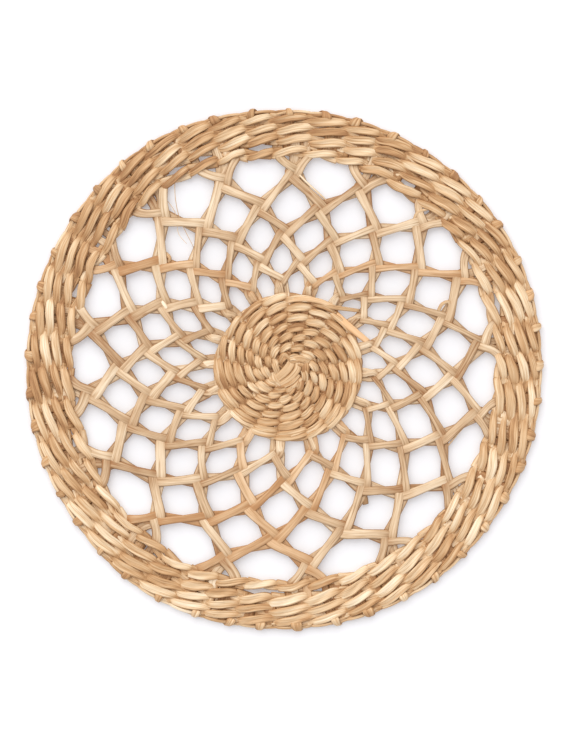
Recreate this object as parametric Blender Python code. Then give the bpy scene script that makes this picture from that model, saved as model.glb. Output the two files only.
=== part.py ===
"""Round placemat of dried seagrass, twined in one piece and lying flat on a table.

A twined disc in the middle and a twined rim are joined by an openwork of thirty-four strands.
The strands run in two families, one turning clockwise and one anticlockwise on the way out,
and are squeezed together where they cross. +X is to the right and +Y away from the person who
sits at the mat. The origin is on the table under the middle of the mat.
"""

import math
from typing import NamedTuple

import bmesh
import bpy
import numpy as np

MM = 0.001

# The mat as a whole
STAKES = 17                     # strands in each of the two families
RIM_STITCHES = 45               # stitches in one row of the rim
EDGE_RADIUS = 188.0 * MM        # to the outside of the edge cord, between its knots
MID_HEIGHT = 3.2 * MM           # of the widest line round every edge and strand


class Wave(NamedTuple):
    """A slow wave round the mat: how many times it rises, how far, and where it peaks."""

    count: int
    size: float
    bearing: float


class Ring(NamedTuple):
    """One ring of crossings: its radius, the bearing of crossing 0 and its own centre."""

    radius: float
    bearing: float
    centre_x: float
    centre_y: float


class Swell(NamedTuple):
    """How far the rim bulges out at a bearing."""

    bearing: float
    size: float


class Course(NamedTuple):
    """One row of twining: the radius and height of its crest."""

    radius: float
    height: float


class Band(NamedTuple):
    """A twined band: the point it runs round, its points per row and whether it swells."""

    centre: tuple
    columns: int
    swollen: bool


class Blade(NamedTuple):
    """A loose blade: radius about the disc and bearing of its points, and its half width."""

    path: tuple
    half_width: float


class Strand(NamedTuple):
    """One family of strands: its half widths, its crossings' places and where it ends."""

    half_width: float           # at a crossing
    loose_half_width: float     # halfway between two crossings, where the blades spread
    top: float                  # over a crossing
    numbers: tuple              # added to the strand's number in each ring, inner ring first
    rim_turn: float             # degrees from the outermost crossing on to the rim


# Hand weaving is uneven: the crossings crowd together and spread in two slow waves, in degrees
SWAY = (Wave(1, 5.2, 16.0), Wave(2, 2.1, -35.0))

RINGS = (
    Ring(63.0 * MM, 10.4, 3.5 * MM, -0.4 * MM),
    Ring(79.8 * MM, -3.5, 1.0 * MM, -1.8 * MM),
    Ring(100.8 * MM, 5.0, 0.8 * MM, -2.8 * MM),
    Ring(121.2 * MM, 13.7, 1.7 * MM, -3.3 * MM),
    Ring(143.0 * MM, 2.2, 1.1 * MM, -1.1 * MM),
)

# The clockwise strands are twisted ropes and lie over the crossings; the others are flat pairs
CLOCKWISE = Strand(2.7 * MM, 2.8 * MM, 5.8 * MM, (2, 2, 1, 0, 0), -4.5)
ANTICLOCKWISE = Strand(3.3 * MM, 3.9 * MM, 4.7 * MM, (0, 1, 1, 1, 2), 3.5)

STRAND_FOOT = 1.0 * MM          # underside of a crossing
LOOSE_FOOT = 1.7 * MM           # underside of a strand between crossings
LOOSE_TOP = 5.0 * MM            # the upper blade's back between crossings
LOOSE_STEP = 0.9 * MM           # the lower blade's back lies this much lower
STRAND_TUCK = 4.0 * MM          # length of a strand that is hidden in the disc or the rim
ROOT_HALF_WIDTH = 4.6 * MM      # of the four blades of two strands, where they leave the disc
BACK_SHARE = 0.52               # width of a strand's back and underside, as a share of its own
CROSSING_FOOT_SHARE = 0.72      # size of a crossing's underside, as a share of the crossing

DISC_CENTRE = (2.9 * MM, 1.5 * MM)
DISC_BAND = Band(DISC_CENTRE, STAKES * 2, False)
DISC_RADIUS = 53.8 * MM
DISC_COURSES = (
    Course(51.2 * MM, 6.4 * MM),
    Course(45.4 * MM, 7.4 * MM),
    Course(39.1 * MM, 7.4 * MM),
    Course(32.8 * MM, 7.4 * MM),
    Course(26.7 * MM, 7.4 * MM),
    Course(20.6 * MM, 7.6 * MM),
    Course(14.2 * MM, 7.9 * MM),
)
DISC_KNOT_HEIGHT = 8.4 * MM     # of the knot of blades in the middle

RIM_COURSES = (
    Course(158.2 * MM, 7.4 * MM),
    Course(166.8 * MM, 8.0 * MM),
    Course(174.6 * MM, 8.2 * MM),
    Course(181.6 * MM, 7.8 * MM),
    Course(186.8 * MM, 6.8 * MM),
)
RIM_BAND = Band((0.0, 0.0), RIM_STITCHES * 2, True)
RIM_INNER = 154.0 * MM
RIM_SWELLS = (
    Swell(0.0, -1.5 * MM),
    Swell(30.0, 0.0 * MM),
    Swell(60.0, -0.6 * MM),
    Swell(90.0, -1.0 * MM),
    Swell(120.0, 2.1 * MM),
    Swell(150.0, 0.0 * MM),
    Swell(180.0, -1.0 * MM),
    Swell(210.0, 0.0 * MM),
    Swell(240.0, 3.6 * MM),
    Swell(270.0, 1.2 * MM),
    Swell(300.0, 1.0 * MM),
    Swell(330.0, -0.8 * MM),
)

COURSE_GROOVE = 2.1 * MM        # depth of the groove between two rows
STITCH_DIP = 1.5 * MM           # how far a row dips between two stitches
EDGE_FOOT = 1.6 * MM            # how far the flat underside lies inside the mat's edges
KNOT_REACH = 2.2 * MM           # how far an edge knot stands out
KNOT_HEIGHT = 4.4 * MM          # of an edge knot's tip
KNOT_VARIES = (0.7, 1.1)        # an edge knot's reach, as a share of KNOT_REACH
UNEVEN = 0.25 * MM              # a hand-made row's height varies by about this much
SEED = 17
SHARP_ANGLE = math.radians(40.0)

# One blade has sprung out of the disc's edge, and the disc's last blade leaves it for a strand
LOOSE_BLADES = (
    Blade(((50.6 * MM, 52.1), (53.5 * MM, 31.5), (60.0 * MM, 17.7)), 3.0 * MM),
    Blade(((50.0 * MM, 62.0), (54.5 * MM, 49.9), (64.1 * MM, 38.4)), 2.1 * MM),
)
BLADE_TOP = 6.0 * MM

SEAGRASS = {"colour": (0.70, 0.49, 0.27, 1.0), "roughness": 0.78, "metallic": 0.0}


def clear_scene():
    """Removes every object that a new file starts with."""
    for item in list(bpy.data.objects):
        bpy.data.objects.remove(item, do_unlink=True)


def wave_sum(waves, bearing):
    """The sum of size * cos(count * (bearing - peak)) over the waves."""
    return sum(w.size * math.cos(math.radians(w.count * (bearing - w.bearing))) for w in waves)


def swell_at(bearing):
    """The rim's bulge at a bearing, read smoothly between the rows of RIM_SWELLS."""
    step = 360.0 / len(RIM_SWELLS)
    place = (bearing % 360.0) / step
    index = int(place)
    share = place - index
    blend = share * share * (3.0 - 2.0 * share)
    low = RIM_SWELLS[index % len(RIM_SWELLS)].size
    high = RIM_SWELLS[(index + 1) % len(RIM_SWELLS)].size
    return low + (high - low) * blend


def spot(centre, radius, bearing):
    """The point at a radius and a bearing in degrees, anticlockwise from +X, round a centre."""
    turn = math.radians(bearing)
    return np.array(centre) + radius * np.array((math.cos(turn), math.sin(turn)))


def crossing_bearing(ring, number):
    """The bearing of one crossing of a ring about that ring's own centre."""
    even = ring.bearing + number * 360.0 / STAKES
    return even + wave_sum(SWAY, even)


def crossing(ring, number):
    """The place of one crossing of a ring."""
    centre = (ring.centre_x, ring.centre_y)
    return spot(centre, ring.radius, crossing_bearing(ring, number))


def strand_points(family, number):
    """A strand's crossings, one in each ring, and its end, which is tucked into the rim."""
    steps = [number + extra for extra in family.numbers]
    last = crossing_bearing(RINGS[-1], steps[-1]) + family.rim_turn
    end = spot((0.0, 0.0), RIM_INNER + STRAND_TUCK, last)
    return [crossing(ring, step) for ring, step in zip(RINGS, steps)] + [end]


def across(direction):
    """The direction a quarter turn anticlockwise from a plan direction."""
    return np.array((-direction[1], direction[0]))


def towards(start, end):
    """The unit direction from one plan point to another."""
    line = end - start
    return line / np.linalg.norm(line)


class Shell:
    """Points and faces of one closed surface, gathered before they become a mesh."""

    def __init__(self):
        self.points = []
        self.faces = []

    def point(self, plan, height):
        """Adds a point over a plan position and gives its number."""
        self.points.append((plan[0], plan[1], height))
        return len(self.points) - 1

    def bridge(self, first, second):
        """Joins two loops of equal length with triangles."""
        for index, corner in enumerate(first):
            after = (index + 1) % len(first)
            self.faces.append((corner, first[after], second[after]))
            self.faces.append((corner, second[after], second[index]))

    def fringe(self, coarse, fine):
        """Joins a loop to one with twice its points with triangles."""
        for index, corner in enumerate(coarse):
            after = coarse[(index + 1) % len(coarse)]
            middle = fine[2 * index + 1]
            self.faces.append((corner, fine[2 * index], middle))
            self.faces.append((corner, middle, after))
            self.faces.append((after, middle, fine[(2 * index + 2) % len(fine)]))

    def cap(self, loop):
        """Closes a loop with one flat or nearly flat face."""
        self.faces.append(tuple(loop))

    def mesh(self, name):
        """The shell as a mesh whose faces all point outward."""
        mesh = bpy.data.meshes.new(name)
        mesh.from_pydata(self.points, [], self.faces)
        body = bmesh.new()
        body.from_mesh(mesh)
        bmesh.ops.triangulate(body, faces=[face for face in body.faces if len(face.verts) > 3])
        bmesh.ops.recalc_face_normals(body, faces=body.faces)
        body.to_mesh(mesh)
        body.free()
        mesh.shade_smooth()
        mesh.set_sharp_from_angle(angle=SHARP_ANGLE)
        return mesh


def bar_loop(shell, plan, direction, half_width, foot, tops):
    """A six-cornered cross-section of a strand; tops are its back's heights, right then left."""
    side = across(direction) * half_width
    return [
        shell.point(plan - side * BACK_SHARE, foot),
        shell.point(plan - side, MID_HEIGHT),
        shell.point(plan - side * BACK_SHARE, tops[0]),
        shell.point(plan + side * BACK_SHARE, tops[1]),
        shell.point(plan + side, MID_HEIGHT),
        shell.point(plan + side * BACK_SHARE, foot),
    ]


class Arm(NamedTuple):
    """One strand's start at a crossing: its direction and half width there, and its top."""

    direction: np.ndarray
    half_width: float
    top: float


def corner_between(hub, arm, after):
    """Where the left side of one arm meets the right side of the next arm round a crossing."""
    start = hub + across(arm.direction) * arm.half_width
    goal = hub - across(after.direction) * after.half_width
    lines = np.column_stack((arm.direction, -after.direction))
    along = np.linalg.solve(lines, goal - start)
    return start + arm.direction * along[0]


def crossing_ports(shell, hub, arms):
    """One crossing and the open six-cornered port at the root of each of its arms.

    The arms run anticlockwise: the clockwise strand's way out, the other strand's way out, the
    clockwise strand's way in and, but for the innermost ring, the other strand's way in. The
    clockwise strand's back runs straight over the crossing, and the other's falls away from it.
    """
    corners = []
    for index, arm in enumerate(arms):
        corner = corner_between(hub, arm, arms[(index + 1) % len(arms)])
        side = shell.point(corner, MID_HEIGHT)
        foot = shell.point(hub + (corner - hub) * CROSSING_FOOT_SHARE, STRAND_FOOT)
        corners.append((corner, side, foot))
    ports = []
    for index, arm in enumerate(arms):
        right, right_side, right_foot = corners[index - 1]
        left, left_side, left_foot = corners[index]
        middle = (right + left) / 2.0
        right_top = shell.point(middle + (right - middle) * BACK_SHARE, arm.top)
        left_top = shell.point(middle + (left - middle) * BACK_SHARE, arm.top)
        ports.append([right_foot, right_side, right_top, left_top, left_side, left_foot])
    out, flat_out, inward = ports[:3]
    shell.cap((out[2], out[3], inward[2], inward[3]))
    slope_beside(shell, out, flat_out, inward)
    if len(ports) == 4:
        slope_beside(shell, inward, ports[3], out)
    else:
        shell.faces.append((inward[3], inward[4], out[2]))
    shell.cap([foot for _, _, foot in reversed(corners)])
    return ports


def slope_beside(shell, start, flat, end):
    """The slope from the back of the strand that lies over a crossing to the one under it."""
    shell.faces.append((start[3], start[4], flat[2]))
    shell.faces.append((start[3], flat[2], flat[3]))
    shell.faces.append((start[3], flat[3], end[2]))
    shell.faces.append((flat[3], flat[4], end[2]))


def halfway(points, index):
    """The smooth curve's point and direction halfway between points index and index + 1.

    On a Catmull-Rom curve that point is (9 * (start + end) - (before + after)) / 16.
    """
    before = points[max(index - 1, 0)]
    start = points[index]
    end = points[index + 1]
    after = points[min(index + 2, len(points) - 1)]
    middle = (9.0 * (start + end) - (before + after)) / 16.0
    return middle, towards(before, after)


def crossing_arms(level, hub, paths):
    """The arms of one crossing, anticlockwise: two ways out and then one or two ways in."""
    families = (CLOCKWISE, ANTICLOCKWISE)
    arms = [
        Arm(towards(hub, path[level + 1]), family.half_width, family.top)
        for path, family in zip(paths, families)
    ]
    if level == 0:
        return arms + [Arm(towards(hub, np.array(DISC_CENTRE)), ROOT_HALF_WIDTH, LOOSE_TOP)]
    return arms + [
        Arm(towards(hub, path[level - 1]), family.half_width, family.top)
        for path, family in zip(paths, families)
    ]


def openwork_mesh():
    """The strands of both families, fused where they cross, with their ends capped."""
    shell = Shell()
    families = (CLOCKWISE, ANTICLOCKWISE)
    routes = [[strand_points(family, number) for number in range(STAKES)] for family in families]
    ways_out = [[[] for _ in range(STAKES)] for _ in families]
    ways_in = [[[] for _ in range(STAKES)] for _ in families]
    for level, ring in enumerate(RINGS):
        for number in range(STAKES):
            hub = crossing(ring, number)
            strands = [(number - family.numbers[level]) % STAKES for family in families]
            paths = [routes[side][strand] for side, strand in enumerate(strands)]
            ports = crossing_ports(shell, hub, crossing_arms(level, hub, paths))
            for side, strand in enumerate(strands):
                ways_out[side][strand].append(ports[side])
            if level == 0:
                lay_root(shell, hub, ports[-1])
                continue
            for side, strand in enumerate(strands):
                ways_in[side][strand].append(ports[side + 2])
    low = LOOSE_TOP - LOOSE_STEP
    for side, tops in enumerate(((LOOSE_TOP, low), (low, LOOSE_TOP))):
        for strand, route in enumerate(routes[side]):
            ways = (ways_out[side][strand], ways_in[side][strand])
            lay_strand(shell, families[side], route, ways, tops)
    return shell.mesh("openwork")


def lay_root(shell, hub, port):
    """The bundle of blades from an innermost crossing back into the disc."""
    inward = towards(hub, np.array(DISC_CENTRE))
    plan = np.array(DISC_CENTRE) - inward * (DISC_RADIUS - STRAND_TUCK)
    tops = (LOOSE_TOP, LOOSE_TOP)
    end = bar_loop(shell, plan, inward, ROOT_HALF_WIDTH, STRAND_FOOT, tops)
    shell.bridge(port, end)
    shell.cap(end)


def lay_strand(shell, family, route, ways, tops):
    """Fills in one strand between its crossings and from the outermost one into the rim."""
    ways_out, ways_in = ways
    for index, way_in in enumerate(ways_in):
        middle, direction = halfway(route, index)
        loop = bar_loop(shell, middle, direction, family.loose_half_width, LOOSE_FOOT, tops)
        shell.bridge(ways_out[index], loop)
        shell.bridge(loop, way_in[::-1])
    direction = towards(route[-2], route[-1])
    end = bar_loop(shell, route[-1], direction, family.half_width, LOOSE_FOOT, tops)
    shell.bridge(ways_out[-1], end)
    shell.cap(end)


def band_spot(band, radius, bearing):
    """A place in a band, moved out by the band's swell at that bearing."""
    swell = swell_at(bearing) if band.swollen else 0.0
    return spot(band.centre, radius + swell, bearing)


def band_loop(shell, band, radius, heights):
    """A closed loop of points round a band, with one height for each point."""
    return [
        shell.point(band_spot(band, radius, 360.0 * column / len(heights)), height)
        for column, height in enumerate(heights)
    ]


def stitched_loops(shell, band, courses, random):
    """The top of a twined band: a loop of points for each crest and for each groove between.

    Every second point of a crest dips, and rows that lie side by side dip at different
    places, so that each stitch stands up like a spindle.
    """
    loops = []
    for row, course in enumerate(courses):
        crest = [
            course.height - STITCH_DIP * ((column + row) % 2) + random.uniform(-UNEVEN, UNEVEN)
            for column in range(band.columns)
        ]
        loops.append(band_loop(shell, band, course.radius, crest))
        if row + 1 < len(courses):
            after = courses[row + 1]
            groove = min(course.height, after.height) - COURSE_GROOVE
            radius = (course.radius + after.radius) / 2.0
            loops.append(band_loop(shell, band, radius, [groove] * band.columns))
    return loops


def disc_mesh():
    """The twined disc: concentric rows of stitches round a knot of blades, flat underneath."""
    shell = Shell()
    random = np.random.default_rng(SEED)
    level = [MID_HEIGHT] * DISC_BAND.columns
    floor = [0.0] * DISC_BAND.columns
    foot = band_loop(shell, DISC_BAND, DISC_RADIUS - EDGE_FOOT, floor)
    side = band_loop(shell, DISC_BAND, DISC_RADIUS, level)
    loops = [foot, side] + stitched_loops(shell, DISC_BAND, DISC_COURSES, random)
    for outer, inner in zip(loops, loops[1:]):
        shell.bridge(outer, inner)
    knot = shell.point(DISC_CENTRE, DISC_KNOT_HEIGHT)
    innermost = loops[-1]
    for column, corner in enumerate(innermost):
        shell.faces.append((corner, innermost[(column + 1) % len(innermost)], knot))
    shell.cap(foot[::-1])
    return shell.mesh("disc")


def knotted_edge(shell, random):
    """The edge cord's widest line, with twice the band's points, so that its knots are narrow."""
    points = RIM_BAND.columns * 2
    loop = []
    for index in range(points):
        knotted = index % (points // RIM_STITCHES) == 0
        reach = KNOT_REACH * random.uniform(*KNOT_VARIES) if knotted else 0.0
        height = KNOT_HEIGHT if knotted else MID_HEIGHT
        place_in_plan = band_spot(RIM_BAND, EDGE_RADIUS + reach, 360.0 * index / points)
        loop.append(shell.point(place_in_plan, height))
    return loop


def rim_mesh():
    """The twined rim: rows of stitches with the knotted edge cord outermost."""
    shell = Shell()
    random = np.random.default_rng(SEED)
    level = [MID_HEIGHT] * RIM_BAND.columns
    floor = [0.0] * RIM_BAND.columns
    outer_foot = band_loop(shell, RIM_BAND, EDGE_RADIUS - EDGE_FOOT, floor)
    inner_foot = band_loop(shell, RIM_BAND, RIM_INNER + EDGE_FOOT, floor)
    inner = band_loop(shell, RIM_BAND, RIM_INNER, level)
    loops = stitched_loops(shell, RIM_BAND, RIM_COURSES, random)
    chain = [outer_foot, inner_foot, inner] + loops
    for first, second in zip(chain, chain[1:]):
        shell.bridge(first, second)
    knots = knotted_edge(shell, random)
    shell.fringe(loops[-1], knots)
    shell.fringe(outer_foot, knots)
    return shell.mesh("rim")


def loose_blade_mesh(blade):
    """The end of a weaving blade, from under the disc's outermost row to its free tip."""
    shell = Shell()
    path = [spot(DISC_CENTRE, radius, bearing) for radius, bearing in blade.path]
    loops = []
    for index, plan in enumerate(path):
        direction = towards(path[max(index - 1, 0)], path[min(index + 1, len(path) - 1)])
        tops = (BLADE_TOP, BLADE_TOP - LOOSE_STEP)
        loops.append(bar_loop(shell, plan, direction, blade.half_width, LOOSE_FOOT, tops))
    for first, second in zip(loops, loops[1:]):
        shell.bridge(first, second)
    shell.cap(loops[0][::-1])
    shell.cap(loops[-1])
    return shell.mesh("loose_blade")


def seagrass_material():
    """Dry, pale straw-coloured seagrass."""
    material = bpy.data.materials.new("seagrass")
    material.use_nodes = True
    shader = material.node_tree.nodes["Principled BSDF"]
    shader.inputs["Base Color"].default_value = SEAGRASS["colour"]
    shader.inputs["Roughness"].default_value = SEAGRASS["roughness"]
    shader.inputs["Metallic"].default_value = SEAGRASS["metallic"]
    return material


def place(name, mesh):
    """Puts a mesh into the scene as an object."""
    item = bpy.data.objects.new(name, mesh)
    bpy.context.scene.collection.objects.link(item)
    return item


def fuse(base, name, mesh):
    """Joins another closed mesh to the base object and keeps it as a hidden wire guide."""
    guide = place(name, mesh)
    guide.hide_render = True
    guide.display_type = "WIRE"
    union = base.modifiers.new(name, "BOOLEAN")
    union.operation = "UNION"
    union.solver = "EXACT"
    union.object = guide


def centre_over_origin(item):
    """Shifts the finished mat so that its bounding box is centred over the origin."""
    evaluated = item.evaluated_get(bpy.context.evaluated_depsgraph_get())
    corners = np.array([vertex.co for vertex in evaluated.data.vertices])
    middle = (corners.min(axis=0) + corners.max(axis=0)) / 2.0
    for piece in bpy.data.objects:
        piece.location.x -= middle[0]
        piece.location.y -= middle[1]


def build_mat():
    """The whole mat as one solid."""
    mat = place("woven_mat", rim_mesh())
    mat.data.materials.append(seagrass_material())
    fuse(mat, "openwork", openwork_mesh())
    fuse(mat, "disc", disc_mesh())
    for number, blade in enumerate(LOOSE_BLADES, start=1):
        fuse(mat, f"loose_blade_{number}", loose_blade_mesh(blade))
    bpy.context.view_layer.update()
    centre_over_origin(mat)
    return mat


clear_scene()
build_mat()
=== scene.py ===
"""Looks of a round placemat of dried seagrass that lies flat on a pale table.

Every blade is a closed surface swept along its own path. The rows of the woven rim and centre
are twists of two blades. Each strand of the openwork is two blades that change places on their
way out and go over and under the blades of the other family. Sizes are in millimetres and
degrees until a surface becomes a mesh.
"""

import logging
import math
from dataclasses import dataclass, fields, replace
from enum import Enum
from typing import Callable

import bpy
import numpy as np
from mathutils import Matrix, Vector


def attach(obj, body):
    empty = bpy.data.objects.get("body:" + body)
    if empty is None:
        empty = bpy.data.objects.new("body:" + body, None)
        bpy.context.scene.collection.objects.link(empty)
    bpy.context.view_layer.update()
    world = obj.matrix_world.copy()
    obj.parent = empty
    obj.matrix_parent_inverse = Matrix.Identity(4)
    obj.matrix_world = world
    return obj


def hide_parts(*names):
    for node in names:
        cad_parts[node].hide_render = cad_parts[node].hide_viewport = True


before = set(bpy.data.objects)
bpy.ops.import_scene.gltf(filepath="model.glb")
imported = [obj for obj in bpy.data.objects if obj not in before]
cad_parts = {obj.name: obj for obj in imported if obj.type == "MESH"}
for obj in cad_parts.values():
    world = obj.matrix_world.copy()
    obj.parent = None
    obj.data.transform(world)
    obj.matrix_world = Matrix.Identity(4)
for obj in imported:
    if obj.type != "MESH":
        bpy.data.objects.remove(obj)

LOG = logging.getLogger("seagrass_placemat")
MM = 0.001                       # metres in a millimetre
NODE = "woven_mat"
STRANDS = 17                     # in each family of the openwork
MIDDLE = (0.0, 0.0)              # of the rim and the outline
DISC_MIDDLE = (2.9, 1.5)         # of the woven centre
BOX_SHIFT = (0.08, 1.27)         # moves the middle of the mat's box onto the origin
LOWEST = 0.05                    # every point of the mat lies at least this far above the table
UP = np.array((0.0, 0.0, 1.0))
NO_REPEAT = 4096                 # more places than any blade has
FOLD_SEED, DEPTH_SEED, STRIP_SEED = 20, 30, 40
# How far the uneven outline bulges, at every 30 degrees from +X
SWELLS = (-1.5, 0.0, -0.6, -1.0, 2.1, 0.0, -1.0, 0.0, 3.6, 1.2, 1.0, -0.8)

Array = np.ndarray
Size = Array | float
Row = tuple[float, ...]
Pair = tuple[float, float]
Point = tuple[float, float, float]
Colour = tuple[float, float, float, float]
Object = bpy.types.Object
Material = bpy.types.Material


def eased(numbers: Array, place: Array) -> Array:
    """Values through numbers at the whole places, by 3 t^2 - 2 t^3 from one to the next.

    Args:
        numbers: blade by place, or one row for all; they repeat.
        place: where to read them, blade by station.

    Returns:
        The values, of the same shape as place.
    """
    whole = np.floor(place).astype(int)
    share = place - whole
    rows = np.arange(len(numbers))[:, None] if len(numbers) > 1 else 0
    low, high = (numbers[rows, (whole + k) % numbers.shape[1]] for k in (0, 1))
    return low + (high - low) * (share * share * (3.0 - 2.0 * share))


def wander(place: Array, seed: int, period: int) -> Array:
    """Smooth seeded values from -1 to 1, with an own sequence that repeats for each blade."""
    numbers = np.random.default_rng(seed).uniform(-1.0, 1.0, (place.shape[0], period))
    return eased(numbers, place)


@dataclass(frozen=True)
class Wobble:
    """A seeded unevenness along blades: its mean, how far it goes each way, its number among the
    chances of its class, and its swings in a stitch or a span."""

    mean: float
    size: float
    number: int
    rate: float = 1.0

    def at(self, place: Array, seed: int, length: int = NO_REPEAT) -> Array:
        """Its values at places, in stitches or spans, which may repeat after a length."""
        period = length if length == NO_REPEAT else round(length * self.rate)
        return self.mean + self.size * wander(place * self.rate, seed + self.number, period)


@dataclass(frozen=True)
class Wave:
    """A slow wave round the mat: how many times it rises, how far, and where it peaks."""

    count: int
    size: float
    bearing: float

    def at(self, bearing: Array) -> Array:
        """Its size times the cosine of its count times the angle from its peak."""
        return self.size * np.cos(np.radians(self.count * (bearing - self.bearing)))


class Chance:
    """Seeded random numbers, one for each blade."""

    def __init__(self, seed: int, count: int) -> None:
        """Starts the sequence for a number of blades."""
        self.numbers = np.random.default_rng(seed)
        self.count = count

    def between(self, limits: Pair) -> Array:
        """A column of the next numbers between two limits."""
        return self.numbers.uniform(*limits, (self.count, 1))


def swell(bearing: Array) -> Array:
    """How far the mat's uneven outline bulges at bearings, through the SWELLS."""
    return eased(np.array([SWELLS]), (bearing % 360.0) * len(SWELLS) / 360.0)


def unit(vectors: Array) -> Array:
    """The vectors scaled to length one."""
    return vectors / np.maximum(np.linalg.norm(vectors, axis=-1, keepdims=True), 1e-9)


def heading(line: Array, closed: bool) -> Array:
    """The direction of each line at each of its stations, from its neighbours' difference.

    Args:
        line: blade by station by dimension.
        closed: True where each line is a ring.

    Returns:
        Unit vectors, of the same shape.
    """
    if closed:
        return unit(np.roll(line, -1, axis=1) - np.roll(line, 1, axis=1))
    return unit(np.gradient(line, axis=1))


def lifted(plan: Array, height: Size) -> Array:
    """Plan points with a height each, as points in space."""
    level = np.broadcast_to(height, plan.shape[:-1])
    return np.concatenate((plan, level[..., None]), axis=-1)


def leftward(plan: Array, closed: bool) -> Array:
    """The level direction to the left of plan lines: their heading (x, y) turned to (-y, x)."""
    forward = heading(plan, closed)
    return lifted(np.stack((-forward[..., 1], forward[..., 0]), axis=-1), 0.0)


def polar(centre: Pair, radius: Size, bearing: Array) -> Array:
    """Plan points at radii and bearings in degrees, anticlockwise from +X, round a centre."""
    turn = np.radians(bearing)
    return np.stack((centre[0] + radius * np.cos(turn), centre[1] + radius * np.sin(turn)), axis=-1)


def column(*values: float) -> Array:
    """One value for each blade, as a column."""
    return np.array(values)[:, None]


def zigzag(phase: Array) -> Array:
    """A triangle wave that peaks where the cosine of the phase does."""
    return np.arcsin(np.clip(np.cos(phase), -1.0, 1.0)) * 2.0 / math.pi


def half_turn(turned: Array) -> tuple[Array, Array]:
    """The share of each half turn that is done, and 1 for one on top or -1 for one underneath."""
    whole = np.floor(turned)
    return turned - whole, np.where(whole % 2.0 < 0.5, 1.0, -1.0)


def smooth_line(points: Array, per_span: int, roundness: float = 1.0) -> Array:
    """Lines through control points, between straight spans and Catmull-Rom splines.

    At share t between p1 and p2 the spline's point is half of 2 p1 + (p2 - p0) t
    + (2 p0 - 5 p1 + 4 p2 - p3) t^2 + (3 p1 - p0 - 3 p2 + p3) t^3.

    Args:
        points: line by control point by dimension.
        per_span: stations from one control point to the next.
        roundness: 1 for the spline, 0 for straight spans.

    Returns:
        Line by station by dimension.
    """
    first = 2.0 * points[:, :1] - points[:, 1:2]
    last = 2.0 * points[:, -1:] - points[:, -2:-1]
    padded = np.concatenate((first, points, last), axis=1)
    spans = points.shape[1] - 1
    before, start, end, after = (padded[:, k:k + spans, None, :] for k in range(4))
    t = (np.arange(per_span) / per_span)[None, None, :, None]
    curve = 0.5 * (
        2.0 * start
        + (end - before) * t
        + (2.0 * before - 5.0 * start + 4.0 * end - after) * t ** 2
        + (3.0 * start - before - 3.0 * end + after) * t ** 3
    )
    straight = start + (end - start) * t
    curve = straight + (curve - straight) * roundness
    flat = curve.reshape(points.shape[0], spans * per_span, points.shape[2])
    return np.concatenate((flat, points[:, -1:]), axis=1)


@dataclass
class Blades:
    """Blades with the same number of stations each, in mm.

    Attributes:
        line: the middle of each blade, blade by station by 3.
        half_width: half its width, blade by station, as the next two and the slant are.
        half_thickness: half its thickness.
        tone: how pale it is, from 0 to 1.
        seed: one number from 0 to 1 for each blade.
        facing: the direction that its broad side faces.
        closed: True where each blade runs back into its own start.
        slant: how far its right edge lags behind its middle, as a share of half the width.
    """

    line: Array
    half_width: Size
    half_thickness: Size
    tone: Size
    seed: Array
    facing: Array | None = None
    closed: bool = False
    slant: Size = 0.0

    def __post_init__(self) -> None:
        """Gives every size and direction a value at every station, and up where none faces."""
        shape = self.line.shape[:2]
        for name in ("half_width", "half_thickness", "tone", "slant"):
            setattr(self, name, np.broadcast_to(getattr(self, name), shape))
        self.facing = np.broadcast_to(UP if self.facing is None else self.facing, self.line.shape)
        self.seed = np.ravel(self.seed)


@dataclass(frozen=True)
class Skin:
    """A surface as arrays: points, faces, their texture places and what each point carries."""

    points: Array
    quads: Array
    quad_places: Array
    triangles: Array
    triangle_places: Array
    tone: Array
    seed: Array


def joined(skins: list[Skin]) -> Skin:
    """Several surfaces as one, in order, not fused.

    Args:
        skins: the surfaces.

    Returns:
        One surface, whose faces count their points from the start of the first surface.
    """
    starts = np.cumsum([0] + [len(skin.points) for skin in skins])
    moved = [
        replace(skin, quads=skin.quads + start, triangles=skin.triangles + start)
        for skin, start in zip(skins, starts)
    ]
    return Skin(*(np.concatenate([getattr(skin, f.name) for skin in moved]) for f in fields(Skin)))


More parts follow.
